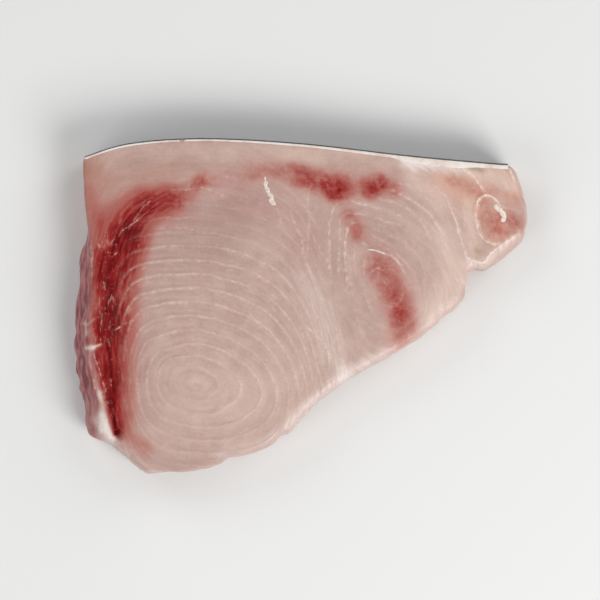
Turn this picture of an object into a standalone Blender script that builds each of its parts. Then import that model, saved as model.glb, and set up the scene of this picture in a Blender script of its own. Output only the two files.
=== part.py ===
"""A raw swordfish steak, one quarter of a slice through the fish, as one solid.

The slice lies on its lower cut face. The fish's skin runs along the back (+Y), the dark
muscle of the lateral line along the left side (-X), and the fin muscle ends the narrow tip
on the right (+X). Every size below is in millimetres, measured from the middle of the slice,
and MM turns them into metres when the mesh is made.
"""

import math

import bmesh
import bpy
from mathutils import Vector, kdtree, noise
from mathutils.geometry import delaunay_2d_cdt

MM = 0.001

# The slice's thickness, and how much of it the narrow tip loses over a stretch of X.
THICKNESS = 20.0
TIP_THINNING = 2.5
TIP_THINS_OVER = (20.0, 90.0)

# The upper cut face's edge, clockwise seen from above. A stretch ends at each real corner.
SKIN = [(-88.2, 59.1), (-69.6, 64.6), (-39.8, 66.6), (-1.2, 64.6), (43.2, 59.7), (82.4, 56.2)]
TIP_END = [(82.4, 56.2), (84.8, 53.2), (87.6, 45.4), (89.6, 36.0), (88.6, 30.6), (86.6, 27.6)]
TIP_UNDERSIDE = [(86.6, 27.6), (81.5, 24.0), (74.8, 18.4), (72.6, 15.2)]
NECK = [(72.6, 15.2), (68.8, 15.2), (66.2, 13.2), (65.4, 9.0), (64.6, 2.7)]
FLANK_TOP = [(64.6, 2.7), (60.0, -1.4), (57.4, -3.2), (55.7, -2.0)]
FLANK_MIDDLE = [
    (55.7, -2.0), (53.6, -6.4), (39.6, -16.7), (24.3, -25.4), (16.5, -29.8), (2.4, -40.8), (-6.8, -51.4)
]
FLANK_STEP = [(-6.8, -51.4), (-10.2, -50.8)]
BELLY = [
    (-10.2, -50.8), (-12.9, -55.0), (-25.1, -59.9), (-31.6, -60.8), (-34.9, -63.4), (-47.3, -66.0),
    (-62.0, -66.5),
]
HEEL = [(-62.0, -66.5), (-66.7, -63.6), (-74.6, -55.6)]
FAT_END = [(-74.6, -55.6), (-77.6, -53.6), (-82.0, -50.4)]
TORN = [(-82.0, -50.4), (-82.8, -40.0), (-85.0, -28.9), (-86.6, -9.2), (-84.4, 12.0), (-85.5, 26.2)]
CLEAN_CUT = [(-85.5, 26.2), (-87.6, 41.8), (-88.2, 59.1)]

# Each stretch with its wall: how far it runs out below the cut face, how far it bellies
# between the faces, and how ragged it is.
STRETCHES = [
    (SKIN, 0.0, 0.9, 0.0),
    (TIP_END, 0.6, 1.2, 0.5),
    (TIP_UNDERSIDE, 3.4, 0.8, 0.5),
    (NECK, 0.4, 0.4, 0.25),
    (FLANK_TOP, 0.8, 0.5, 0.35),
    (FLANK_MIDDLE, 0.9, 0.7, 0.35),
    (FLANK_STEP, 0.8, 0.5, 0.2),
    (BELLY, 0.7, 1.0, 0.35),
    (HEEL, 1.4, 1.0, 0.4),
    (FAT_END, 2.6, 1.2, 0.4),
    (TORN, 5.0, 1.6, 0.7),
    (CLEAN_CUT, 0.5, 0.3, 0.1),
]

# The walls. Shares are of the way down from the upper cut face to the base.
WALL_BLEND_PASSES = 3
RUN_OUT_BY = 0.62
BELLY_ENDS_BY = 0.95
BASE_TUCK = 1.1
TUCK_FROM = 0.82
RAGGED_EDGE_SIZE = 3.1
RAGGED_WALL_SHARE = 1.7
RAGGED_WALL_SIZE = (7.0, 8.3)

# The dark muscle's path over the cut face: from the heel up the torn side, round the
# shoulder and on below the skin. Flakes show on its right and lower side only.
BAND = [
    (-74.0, -52.4), (-76.8, -18.0), (-77.6, 2.0), (-70.8, 30.8), (-62.0, 40.8), (-47.2, 47.6),
    (-16.4, 53.2), (10.8, 46.0), (28.8, 46.8), (45.0, 53.0),
]
BAND_REACH = 9.0
BAND_SINK = 1.3
BAND_CRAGS_FADE = (30.0, 42.0)
# A slit where the dark muscle parts from the fat at the heel.
SLIT = [(-79.0, -38.3), (-76.7, -45.4), (-74.3, -51.2)]
SLIT_DEPTH = 6.0
SLIT_HALF_WIDTH = 0.9
SLIT_STEP = 1.6

# The fin muscle, an oval bundle in the narrow tip, in a groove round its sheath.
FIN_CENTRE = (76.5, 34.5)
FIN_RADII = (6.2, 9.4)
FIN_DOME = 1.0
FIN_GROOVE = 0.7
FIN_GROOVE_SHARE = 0.22
FLAKES_START_OUTSIDE_FIN = (1.2, 1.5)

# Lumps on the cut face, as height, size and seed: its slow swell, and the torn muscle's crags.
SWELL = (0.7, 46.0, 2.0)
CRAGS = (0.9, 5.0, 4.0)

# Each flake rises outwards to its septum and falls to the next one's foot, over this share of
# a flake's width. The steps start inside the dark muscle.
FLAKE_STEP = 0.5
FLAKE_FALL = 0.3
FLAKES_START_INSIDE_BAND = (1.0, 8.0)
LESSER_DOME = 0.8
LESSER_DOME_RADIUS = 16.0

# The soft arris round the cut face, except along the skin, which keeps it crisp.
ARRIS_DROP = 0.9
ARRIS_WIDTH = 3.2
ARRIS_FADES_OVER = (48.0, 54.0)

# How far apart the mesh's points are.
EDGE_STEP = 2.3
RIDGE_STEP = 2.3
RIDGE_CLEARANCE = 1.0
PLAIN_STEP = 4.2
BASE_STEP = 9.0
WALL_ROWS = 6
SPLINE_PIECES = 24
CURVE_STEP = 4.0
LATTICE_ROW = math.sqrt(3) / 2


class Whorl:
    """Nested flakes round one centre. Along each half axis, the number of flakes crossed at a
    distance d is d / pitch + (d / squeeze) ** 4, and an exponent rounds each quarter. Pitches
    go right, left, up, down, squeezes right, left, and roundings upper right, upper left,
    lower right, lower left. Flakes rise by slope to the right, less below the centre."""

    TILT_FADES_AT = 45.0
    FARTHEST = 200.0
    HALVINGS = 26

    def __init__(self, centre, lean, slope, low_slope, pitch, squeeze, rounding):
        self.centre = centre
        self.lean = lean
        self.slope = slope
        self.low_slope = low_slope
        self.pitch = pitch
        self.squeeze = squeeze
        self.rounding = rounding

    def number(self, x, y):
        """How many flakes lie between the centre and this point."""
        dy = y - self.centre[1]
        dx = x - self.centre[0] - self.lean * dy
        tilt = self.slope if dy > 0 else self.low_slope
        dy -= tilt * dx / (1 + (dy / self.TILT_FADES_AT) ** 2)
        side = 0 if dx > 0 else 1
        level = 2 if dy > 0 else 3
        across = abs(dx) / self.pitch[side] + (abs(dx) / self.squeeze[side]) ** 4
        along = abs(dy) / self.pitch[level]
        power = self.rounding[side + 2 * (level - 2)]
        return (across**power + along**power) ** (1 / power)

    def point(self, number, angle):
        """The point of this flake in a direction from the centre, found by halving."""
        near, far = 0.0, self.FARTHEST
        for _ in range(self.HALVINGS):
            middle = (near + far) / 2
            x = self.centre[0] + middle * math.cos(angle)
            y = self.centre[1] + middle * math.sin(angle)
            if self.number(x, y) < number:
                near = middle
            else:
                far = middle
        return (x, y)


GREAT_WHORL = Whorl(
    (-42.5, -31.3), -0.06, -0.13, -0.08, (9.2, 9.0, 5.6, 5.3), (36.0, 23.0), (1.75, 2.1, 2.0, 2.0)
)
LESSER_WHORL = Whorl(
    (33.5, 8.5), -0.2, -0.33, 0.0, (6.4, 6.6, 7.6, 9.0), (200.0, 60.0), (2.2, 3.5, 2.0, 2.2)
)
# Each whorl with its side of the meeting septum and the most flakes it can show.
WHORLS = [(GREAT_WHORL, 1, 20), (LESSER_WHORL, -1, 12)]
# The septum where the two whorls meet, from the skin side down to the flank.
MEETING = [(-4.0, 52.0), (6.0, 34.0), (12.0, 2.0), (17.0, -16.0), (20.0, -30.0)]
MEETING_CLEARANCE = 0.4


def smooth(low, high, value):
    """0 below low, 1 above high, with an even slope between."""
    t = min(1.0, max(0.0, (value - low) / (high - low)))
    return t * t * (3 - 2 * t)


def lumps(x, y, height, size, seed):
    """Even noise up to this height, with lumps of this size."""
    return height * noise.noise(Vector((x / size, y / size, seed)))


def catmull_rom(p, q, r, s, t):
    """One coordinate of a curve that passes through q at t = 0 and r at t = 1."""
    turn = (2 * p - 5 * q + 4 * r - s) * t**2
    return 0.5 * (2 * q + (r - p) * t + turn + (3 * q - p - 3 * r + s) * t**3)


def spline(points, step):
    """A smooth curve through the points, as points about step apart, without its last one."""
    ends = [points[0], *points, points[-1]]
    curve = [
        tuple(catmull_rom(*values, i / SPLINE_PIECES) for values in zip(a, b, c, d))
        for a, b, c, d in zip(ends, ends[1:], ends[2:], ends[3:])
        for i in range(SPLINE_PIECES)
    ]
    curve.append(points[-1])
    lengths = [0.0]
    for a, b in zip(curve, curve[1:]):
        lengths.append(lengths[-1] + math.dist(a, b))
    count = max(1, round(lengths[-1] / step))
    found, j = [], 0
    for i in range(count):
        wanted = lengths[-1] * i / count
        while lengths[j + 1] < wanted:
            j += 1
        t = (wanted - lengths[j]) / (lengths[j + 1] - lengths[j])
        found.append(tuple(p + (q - p) * t for p, q in zip(curve[j], curve[j + 1])))
    return found


def signed_distance(path, x, y):
    """Distance to the path, positive on its right side."""
    best = None
    for a, b in zip(path, path[1:]):
        ex, ey = b[0] - a[0], b[1] - a[1]
        t = min(1.0, max(0.0, ((x - a[0]) * ex + (y - a[1]) * ey) / (ex * ex + ey * ey)))
        px, py = x - a[0] - t * ex, y - a[1] - t * ey
        side = 1 if ex * py - ey * px < 0 else -1
        distance = math.hypot(px, py)
        if best is None or distance < abs(best):
            best = side * distance
    return best


BAND_CURVE = spline(BAND, CURVE_STEP) + BAND[-1:]
MEETING_CURVE = spline(MEETING, CURVE_STEP) + MEETING[-1:]


def outline():
    """The cut face's edge as stations: x, y, outward normal, and the wall's three measures."""
    points, walls = [], []
    for stretch, run_out, belly, ragged in STRETCHES:
        found = spline(stretch, EDGE_STEP)
        points += found
        walls += [[run_out, belly, ragged]] * len(found)
    count = len(points)
    for _ in range(WALL_BLEND_PASSES):
        walls = [
            [(a + 2 * b + c) / 4 for a, b, c in zip(walls[i - 1], walls[i], walls[(i + 1) % count])]
            for i in range(count)
        ]
    stations = []
    for i, (x, y) in enumerate(points):
        before, after = points[i - 1], points[(i + 1) % count]
        along = Vector((after[0] - before[0], after[1] - before[1])).normalized()
        normal = Vector((-along.y, along.x))
        shift = lumps(x, y, walls[i][2], RAGGED_EDGE_SIZE, 7.0)
        stations.append((x + normal.x * shift, y + normal.y * shift, normal, walls[i]))
    return stations


def flake_side(x, y):
    """How far a point lies on the flaky side of the dark band."""
    return signed_distance(BAND_CURVE, x, y)


def shows_flakes(side, x, y):
    """Whether a whorl's flakes reach this point, given the whorl's side of the meeting septum."""
    return signed_distance(MEETING_CURVE, x, y) * side > MEETING_CLEARANCE and flake_side(x, y) > 0


def flake_rise(x, y):
    """1 on the septum that bounds a flake, 0 at the next flake's foot or outside them all."""
    whorl = LESSER_WHORL if signed_distance(MEETING_CURVE, x, y) < 0 else GREAT_WHORL
    share = whorl.number(x, y) % 1
    rise = 1 - share / FLAKE_FALL if share < FLAKE_FALL else (share - FLAKE_FALL) / (1 - FLAKE_FALL)
    return rise * smooth(*FLAKES_START_INSIDE_BAND, flake_side(x, y))


def fin_distance(x, y):
    """0 in the middle of the fin muscle, 1 on its sheath."""
    return math.hypot((x - FIN_CENTRE[0]) / FIN_RADII[0], (y - FIN_CENTRE[1]) / FIN_RADII[1])


def top_height(x, y, edge):
    """Height of the upper cut face, edge millimetres in from its rim."""
    fin = fin_distance(x, y)
    height = THICKNESS - TIP_THINNING * smooth(*TIP_THINS_OVER, x) + lumps(x, y, *SWELL)
    height += FLAKE_STEP * flake_rise(x, y) * smooth(*FLAKES_START_OUTSIDE_FIN, fin)
    band = 1 - smooth(0.0, BAND_REACH, abs(flake_side(x, y)))
    height += band * (1 - smooth(*BAND_CRAGS_FADE, y)) * (lumps(x, y, *CRAGS) - BAND_SINK)
    height += LESSER_DOME * (1 - smooth(0.0, LESSER_DOME_RADIUS, math.dist((x, y), LESSER_WHORL.centre)))
    height += FIN_DOME * (1 - smooth(0.0, 1.0, fin))
    height -= FIN_GROOVE * (1 - smooth(0.0, FIN_GROOVE_SHARE, abs(fin - 1.0)))
    height -= SLIT_DEPTH * (1 - smooth(0.0, SLIT_HALF_WIDTH, abs(signed_distance(SLIT, x, y))))
    arris = 1 - smooth(0.0, ARRIS_WIDTH, edge)
    return height - ARRIS_DROP * arris * (1 - smooth(*ARRIS_FADES_OVER, y))


def inside(rim, x, y):
    """Whether a point lies inside a closed rim."""
    found = False
    for a, b in zip(rim, rim[1:] + rim[:1]):
        if (a[1] > y) != (b[1] > y) and x < (b[0] - a[0]) * (y - a[1]) / (b[1] - a[1]) + a[0]:
            found = not found
    return found


class Spread:
    """Points inside a rim that keep their distance from it and from one another."""

    def __init__(self, rim, clearance, rim_clearance):
        self.rim = rim
        self.clearance = clearance
        self.rim_clearance = rim_clearance
        self.points = []
        self.cells = {}
        self.rim_tree = kdtree.KDTree(len(rim))
        for i, (x, y) in enumerate(rim):
            self.rim_tree.insert((x, y, 0), i)
        self.rim_tree.balance()

    def to_rim(self, x, y):
        """Distance to the nearest point of the rim."""
        return self.rim_tree.find((x, y, 0))[2]

    def cell(self, x, y):
        """The square of the grid that a point falls in."""
        return int(x // self.clearance), int(y // self.clearance)

    def change_clearance(self, clearance):
        """Sorts the points again, for a wider distance between those still to come."""
        self.clearance = clearance
        self.cells = {}
        for x, y in self.points:
            self.cells.setdefault(self.cell(x, y), []).append((x, y))

    def fits(self, x, y):
        """Whether a point may go here."""
        if not inside(self.rim, x, y) or self.to_rim(x, y) < self.rim_clearance:
            return False
        column, row = self.cell(x, y)
        return not any(
            math.dist((x, y), other) < self.clearance
            for i in (-1, 0, 1)
            for j in (-1, 0, 1)
            for other in self.cells.get((column + i, row + j), ())
        )

    def add(self, x, y):
        """Keeps the point, and gives its number."""
        self.cells.setdefault(self.cell(x, y), []).append((x, y))
        self.points.append((x, y))
        return len(self.points) - 1

    def fill(self, points):
        """Keeps each of these points that still fits."""
        for x, y in points:
            if self.fits(x, y):
                self.add(x, y)

    def lattice(self, step):
        """Points in staggered rows over the rim's whole box."""
        left, low = (min(values) for values in zip(*self.rim))
        right, high = (max(values) for values in zip(*self.rim))
        return [
            (left + step * (column + 0.5 * (row % 2)), low + step * LATTICE_ROW * row)
            for row in range(math.ceil((high - low) / (step * LATTICE_ROW)))
            for column in range(math.ceil((right - left) / step))
        ]


def add_slit(spread):
    """The slit's floor with a lip on each side. Gives the lines between neighbours."""
    floor = spline(SLIT, SLIT_STEP) + SLIT[-1:]
    rows = [floor, [], []]
    for a, b in zip(floor, floor[1:]):
        along = Vector((b[0] - a[0], b[1] - a[1])).normalized() * SLIT_HALF_WIDTH
        rows[1].append((a[0] - along.y, a[1] + along.x))
        rows[2].append((a[0] + along.y, a[1] - along.x))
    lines = []
    for row in rows:
        kept = [spread.add(x, y) for x, y in row]
        lines += list(zip(kept, kept[1:]))
    return lines


def flake_ring(whorl, number):
    """Points a ridge step apart, all round a whorl, at this number of flakes from its centre."""
    found, turned = [], 0.0
    while turned < 2 * math.pi:
        spot = whorl.point(number, turned)
        found.append(spot)
        turned += RIDGE_STEP / max(math.dist(spot, whorl.centre), RIDGE_STEP)
    return found[:-1]


def add_septa(spread):
    """Points along every septum that shows. Gives the lines between neighbours."""
    lines = []
    for whorl, side, most in WHORLS:
        for number in range(1, most):
            ring = flake_ring(whorl, number)
            shown = [spread.fits(*spot) and shows_flakes(side, *spot) for spot in ring]
            kept = [spread.add(*spot) if show else None for spot, show in zip(ring, shown)]
            lines += [(a, b) for a, b in zip(kept, kept[1:] + kept[:1]) if None not in (a, b)]
    return lines


def flake_rows(share):
    """Points along every flake, at this share of its width from its inner septum."""
    found = []
    for whorl, side, most in WHORLS:
        for number in range(most):
            found += [spot for spot in flake_ring(whorl, number + share) if shows_flakes(side, *spot)]
    return found


def patch(bm, spread, lines, height):
    """Triangles between a closed rim and the points inside it. The rim comes back in order."""
    count = len(spread.rim)
    flat = [Vector(spot) for spot in [*spread.rim, *spread.points]]
    edges = [(i, (i + 1) % count) for i in range(count)]
    edges += [(count + a, count + b) for a, b in lines]
    points, _, faces, sources, _, _ = delaunay_2d_cdt(flat, edges, [], 1, 1e-5)
    verts = [bm.verts.new(Vector((p.x, p.y, height(p.x, p.y))) * MM) for p in points]
    for face in faces:
        bm.faces.new([verts[i] for i in face])
    loop = [None] * count
    for vert, source in zip(verts, sources):
        for i in source:
            if i < count:
                loop[i] = vert
    return loop


def wall_point(station, depth, top):
    """A point of the side wall, at a share of the way down from the cut face."""
    x, y, normal, (run_out, belly, ragged) = station
    out = run_out * smooth(0.0, RUN_OUT_BY, depth)
    out += belly * math.sin(math.pi * min(1.0, depth / BELLY_ENDS_BY))
    spot = Vector((x / RAGGED_WALL_SIZE[0], y / RAGGED_WALL_SIZE[0], top * depth / RAGGED_WALL_SIZE[1]))
    out += ragged * RAGGED_WALL_SHARE * noise.noise(spot) * math.sin(math.pi * depth)
    out -= BASE_TUCK * smooth(TUCK_FROM, 1.0, depth)
    return Vector((x + normal.x * out, y + normal.y * out, top * (1 - depth)))


def add_walls(bm, stations, row):
    """The side walls, row by row, from the cut face's rim down to the base's."""
    tops = [vert.co.z / MM for vert in row]
    for step in range(1, WALL_ROWS + 1):
        spots = [wall_point(s, step / WALL_ROWS, top) for s, top in zip(stations, tops)]
        below = [bm.verts.new(spot * MM) for spot in spots]
        for a, b, c, d in zip(row, row[1:] + row[:1], below[1:] + below[:1], below):
            bm.faces.new((a, b, c, d))
        row = below
    return row


def centre_on_base(bm):
    """Puts the middle of the box's underside at the origin."""
    xs = [vert.co.x for vert in bm.verts]
    ys = [vert.co.y for vert in bm.verts]
    shift = Vector((-(min(xs) + max(xs)) / 2, -(min(ys) + max(ys)) / 2, 0))
    bmesh.ops.translate(bm, verts=bm.verts, vec=shift)


def make_steak():
    """The whole solid: upper cut face, walls, and the flat face it lies on."""
    stations = outline()
    face = Spread([(x, y) for x, y, _, _ in stations], RIDGE_CLEARANCE, RIDGE_CLEARANCE)
    lines = add_slit(face) + add_septa(face)
    face.fill(flake_rows(FLAKE_FALL))
    face.fill(flake_rows((1 + FLAKE_FALL) / 2))
    face.change_clearance(PLAIN_STEP / 2)
    face.fill(face.lattice(PLAIN_STEP))

    bm = bmesh.new()
    rim = patch(bm, face, lines, lambda x, y: top_height(x, y, face.to_rim(x, y)))
    foot = add_walls(bm, stations, rim)
    base = Spread([(vert.co.x / MM, vert.co.y / MM) for vert in foot], BASE_STEP / 2, BASE_STEP / 3)
    base.fill(base.lattice(BASE_STEP))
    patch(bm, base, [], lambda x, y: 0.0)
    bmesh.ops.remove_doubles(bm, verts=bm.verts, dist=0.01 * MM)
    bmesh.ops.triangulate(bm, faces=bm.faces, quad_method="SHORT_EDGE")
    bmesh.ops.recalc_face_normals(bm, faces=bm.faces)
    centre_on_base(bm)
    mesh = bpy.data.meshes.new("steak")
    bm.to_mesh(mesh)
    bm.free()
    mesh.shade_smooth()
    mesh.set_sharp_from_angle(angle=math.radians(40))
    steak = bpy.data.objects.new("steak", mesh)
    bpy.context.scene.collection.objects.link(steak)
    return steak


def flesh_material():
    """Moist, pale pink flesh."""
    material = bpy.data.materials.new("flesh")
    material.use_nodes = True
    shader = material.node_tree.nodes["Principled BSDF"]
    shader.inputs["Base Color"].default_value = (0.56, 0.38, 0.32, 1.0)
    shader.inputs["Roughness"].default_value = 0.42
    shader.inputs["Metallic"].default_value = 0.0
    return material


for old in list(bpy.data.objects):
    bpy.data.objects.remove(old, do_unlink=True)
steak = make_steak()
steak.data.materials.append(flesh_material())
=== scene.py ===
"""The looks of a raw swordfish steak: its flesh, dark muscle, septa, fascia, fat and skin.

Places are millimetres from the middle of the slice: x towards the narrow tip, y towards the
skin. Colours are daylight values from 0 to 255.
"""

import math

import bmesh
import bpy
import numpy as np
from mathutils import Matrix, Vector, noise
from mathutils.bvhtree import BVHTree


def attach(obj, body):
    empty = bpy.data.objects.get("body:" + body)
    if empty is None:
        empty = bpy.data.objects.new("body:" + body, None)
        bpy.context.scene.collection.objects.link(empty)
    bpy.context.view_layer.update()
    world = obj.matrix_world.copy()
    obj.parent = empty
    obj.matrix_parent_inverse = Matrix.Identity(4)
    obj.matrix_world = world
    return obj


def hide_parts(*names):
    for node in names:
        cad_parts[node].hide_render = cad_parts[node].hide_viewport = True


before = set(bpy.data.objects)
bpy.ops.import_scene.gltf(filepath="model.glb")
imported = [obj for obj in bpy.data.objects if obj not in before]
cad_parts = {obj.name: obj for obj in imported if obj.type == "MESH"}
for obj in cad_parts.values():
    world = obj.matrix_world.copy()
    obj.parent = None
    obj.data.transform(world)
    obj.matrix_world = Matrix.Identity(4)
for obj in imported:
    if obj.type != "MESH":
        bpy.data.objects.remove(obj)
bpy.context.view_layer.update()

# Flesh. One slice of raw muscle in two whorls of flakes, with the dark muscle along its left
# side. It is cut through at the top and bottom, torn along the left wall, and moist all over.
MM = 0.001
SLICE_MIDDLE = (0.869, 0.584)
FLESH_CELL = 1.08
FLESH_SMOOTHING = 2
TOP_SMOOTHING = 2
CUT_FACE_ABOVE = 14.0
CUT_FACE_FACES_UP = 0.7
THICKNESS = 20.0
SEPTA_LEAN = (0.12, -0.08)

# The two whorls: centre, lean, slopes above and below, flake widths to the right, left, up and
# down, how far out the flakes thin to the right and left, and how round each quarter is.
GREAT_WHORL = {
    "centre": (-42.5, -31.3), "lean": -0.06, "slopes": (-0.13, -0.08), "widths": (9.2, 9.0, 5.6, 5.3),
    "squeezes": (36.0, 23.0), "roundings": (1.75, 2.1, 2.0, 2.0),
}
LESSER_WHORL = {
    "centre": (33.5, 8.5), "lean": -0.2, "slopes": (-0.33, 0.0), "widths": (6.4, 6.6, 7.6, 9.0),
    "squeezes": (200.0, 60.0), "roundings": (2.2, 3.5, 2.0, 2.2),
}
TILT_FADES_AT = 45.0
SKIN = [(-88.2, 59.1), (-69.6, 64.6), (-39.8, 66.6), (-1.2, 64.6), (43.2, 59.7), (82.4, 56.2)]
MEETING = [(-4.0, 52.0), (6.0, 34.0), (12.0, 2.0), (17.0, -16.0), (20.0, -30.0)]
BAND = [
    (-74.0, -52.4), (-76.8, -18.0), (-77.6, 2.0), (-70.8, 30.8), (-62.0, 40.8), (-47.2, 47.6),
    (-16.4, 53.2), (10.8, 46.0), (28.8, 46.8), (45.0, 53.0),
]
# The photo's septa lie a little off those even rings: by how many flakes, for each bearing in
# degrees from the great whorl's centre, next to the centre and farther out.
INNER_DRIFT = [(0, 0.0), (60, -0.08), (165, -0.1), (200, -0.25), (290, -0.3), (320, 0.05), (360, 0.0)]
OUTER_DRIFT = [
    (0, 0.0), (45, 0.05), (85, 0.12), (112, 0.36), (130, 0.52), (160, 0.4), (215, -0.2), (290, -0.3), (330, -0.05),
    (360, 0.0),
]
DRIFT_GROWS_OVER = (1.2, 2.6)
RING_WANDER = ((0.09, 8.0), (0.04, 2.6))
FLAKE_STEP = 0.5
FLAKE_FALL = 0.3
FIN_MUSCLE = ((76.5, 34.5), (6.2, 9.4))
SEPTUM_RISE = 0.12
GRAIN_RISE = 0.06


def smooth(low, high, value):
    """0 below low, 1 above high, with an even slope between."""
    t = np.clip((value - low) / (high - low), 0.0, 1.0)
    return t * t * (3 - 2 * t)


def lumps(x, y, z, size, seed):
    """Even noise from -1 to 1, with lumps of this size."""
    points = np.stack([x / size + seed * 17.3, y / size - seed * 9.1, z / size + seed * 4.7], axis=1)
    return np.array([noise.noise(Vector(point)) for point in points])


def curve_through(points, step=1.5):
    """A smooth curve through the points, as an array of points about step apart."""
    points = np.array(points, dtype=float)
    ends = np.vstack([2 * points[0] - points[1], points, 2 * points[-1] - points[-2]])
    found = []
    for a, b, c, d in zip(ends, ends[1:], ends[2:], ends[3:]):
        count = max(2, round(float(np.linalg.norm(c - b)) / step))
        for t in np.arange(count) / count:
            turn = (2 * a - 5 * b + 4 * c - d) * t**2
            found.append(0.5 * (2 * b + (c - a) * t + turn + (3 * b - a - 3 * c + d) * t**3))
    return np.array(found + [points[-1]])


def beside(path, x, y):
    """Signed distance to a path, positive on its right side, and the share of it passed."""
    nearest = np.full(len(x), 1e9)
    signed = np.zeros(len(x))
    passed = np.zeros(len(x))
    lengths = np.concatenate([[0.0], np.cumsum(np.linalg.norm(np.diff(path, axis=0), axis=1))])
    for i, (a, b) in enumerate(zip(path, path[1:])):
        along = b - a
        length = float(along @ along)
        t = np.clip(((x - a[0]) * along[0] + (y - a[1]) * along[1]) / length, 0.0, 1.0)
        off_x, off_y = x - a[0] - t * along[0], y - a[1] - t * along[1]
        distance = np.hypot(off_x, off_y)
        nearer = distance < nearest
        side = np.where(along[0] * off_y - along[1] * off_x < 0, 1.0, -1.0)
        nearest[nearer] = distance[nearer]
        signed[nearer] = (side * distance)[nearer]
        passed[nearer] = ((lengths[i] + t * math.sqrt(length)) / lengths[-1])[nearer]
    return signed, passed


def flake_number(whorl, x, y):
    """How many flakes lie between a whorl's centre and each place."""
    dy = y - whorl["centre"][1]
    dx = x - whorl["centre"][0] - whorl["lean"] * dy
    above, right = dy > 0, dx > 0
    tilt = np.where(above, whorl["slopes"][0], whorl["slopes"][1])
    dy = dy - tilt * dx / (1 + (dy / TILT_FADES_AT) ** 2)
    level = np.where(dy > 0, 0, 1)
    width = np.where(right, whorl["widths"][0], whorl["widths"][1])
    squeeze = np.where(right, whorl["squeezes"][0], whorl["squeezes"][1])
    across = np.abs(dx) / width + (np.abs(dx) / squeeze) ** 4
    along = np.abs(dy) / np.where(level == 0, whorl["widths"][2], whorl["widths"][3])
    power = np.array(whorl["roundings"])[np.where(right, 0, 1) + 2 * level]
    return (across**power + along**power) ** (1 / power)


def read_places(mesh):
    """A mesh's points in millimetres from the middle of the slice."""
    flat = np.empty(len(mesh.vertices) * 3)
    mesh.vertices.foreach_get("co", flat)
    x, y, z = (flat.reshape(-1, 3) / MM).T
    return x - SLICE_MIDDLE[0], y - SLICE_MIDDLE[1], z


def write_places(mesh, x, y, z):
    """Moves a mesh's points to these places, in millimetres from the middle of the slice."""
    flat = np.stack([x + SLICE_MIDDLE[0], y + SLICE_MIDDLE[1], z], axis=1) * MM
    mesh.vertices.foreach_set("co", flat.ravel())
    mesh.update()


def read_normals(mesh):
    """A mesh's normal at each point."""
    flat = np.empty(len(mesh.vertices) * 3)
    mesh.vertices.foreach_get("normal", flat)
    return flat.reshape(-1, 3).T


def store(mesh, name, values):
    """Keeps one value for each point under a name that a material can read."""
    mesh.attributes.new(name, "FLOAT", "POINT").data.foreach_set("value", np.asarray(values, dtype=np.float32))


def new_object(name, mesh):
    """An object for a mesh whose points are already in place."""
    made = bpy.data.objects.new(name, mesh)
    bpy.context.scene.collection.objects.link(made)
    return made


def bake_modifiers(piece):
    """Applies the modifiers of a piece to its mesh."""
    shaped = piece.evaluated_get(bpy.context.evaluated_depsgraph_get())
    piece.data = bpy.data.meshes.new_from_object(shaped)
    piece.modifiers.clear()


solid = bmesh.new()
solid.from_mesh(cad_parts["steak"].data)
bmesh.ops.remove_doubles(solid, verts=solid.verts, dist=0.001 * MM)
flesh_mesh = bpy.data.meshes.new("flesh")
solid.to_mesh(flesh_mesh)
solid.free()
flesh = new_object("flesh", flesh_mesh)
cells = flesh.modifiers.new("even cells", "REMESH")
cells.mode = "VOXEL"
cells.voxel_size = FLESH_CELL * MM
bake_modifiers(flesh)

shape = bmesh.new()
shape.from_mesh(flesh.data)
for _ in range(FLESH_SMOOTHING):
    bmesh.ops.smooth_vert(shape, verts=shape.verts, factor=0.5, use_axis_x=True, use_axis_y=True, use_axis_z=True)
shape.normal_update()
cut_face = {
    vert for vert in shape.verts if vert.co.z > CUT_FACE_ABOVE * MM and vert.normal.z > CUT_FACE_FACES_UP
}
cut_edges = [edge for edge in shape.edges if edge.verts[0] in cut_face and edge.verts[1] in cut_face]
bmesh.ops.subdivide_edges(shape, edges=cut_edges, cuts=1, use_grid_fill=True)
shape.normal_update()
cut_face = [vert for vert in shape.verts if vert.co.z > CUT_FACE_ABOVE * MM and vert.normal.z > CUT_FACE_FACES_UP]
for _ in range(TOP_SMOOTHING):
    bmesh.ops.smooth_vert(shape, verts=cut_face, factor=0.5, use_axis_x=True, use_axis_y=True, use_axis_z=True)
shape.to_mesh(flesh.data)
shape.free()

x, y, z = read_places(flesh.data)
normals = read_normals(flesh.data)
faces_up = smooth(0.35, 0.8, normals[2])
# Septa run through the slice at a slight lean, so the walls and the lower face show them too.
deep_x = x + SEPTA_LEAN[0] * (THICKNESS - z)
deep_y = y + SEPTA_LEAN[1] * (THICKNESS - z)
great_plain = flake_number(GREAT_WHORL, deep_x, deep_y)
lesser_plain = flake_number(LESSER_WHORL, deep_x, deep_y)
bearing = np.degrees(np.arctan2(deep_y - GREAT_WHORL["centre"][1], deep_x - GREAT_WHORL["centre"][0])) % 360
inner = np.interp(bearing, *zip(*INNER_DRIFT))
outer = np.interp(bearing, *zip(*OUTER_DRIFT))
grown = smooth(*DRIFT_GROWS_OVER, great_plain)
wander = sum(height * lumps(deep_x, deep_y, 0 * z, size, 1.0) for height, size in RING_WANDER)
great = great_plain + inner * (1 - grown) + outer * grown + wander * smooth(0.2, 1.0, great_plain)
lesser = lesser_plain + wander
DENSITY_STEP = 0.2


def flakes_per_millimetre(whorl):
    """How closely a whorl's septa lie at each point."""
    here = flake_number(whorl, deep_x, deep_y)
    right = flake_number(whorl, deep_x + DENSITY_STEP, deep_y) - here
    up = flake_number(whorl, deep_x, deep_y + DENSITY_STEP) - here
    return np.hypot(right, up) / DENSITY_STEP


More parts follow.
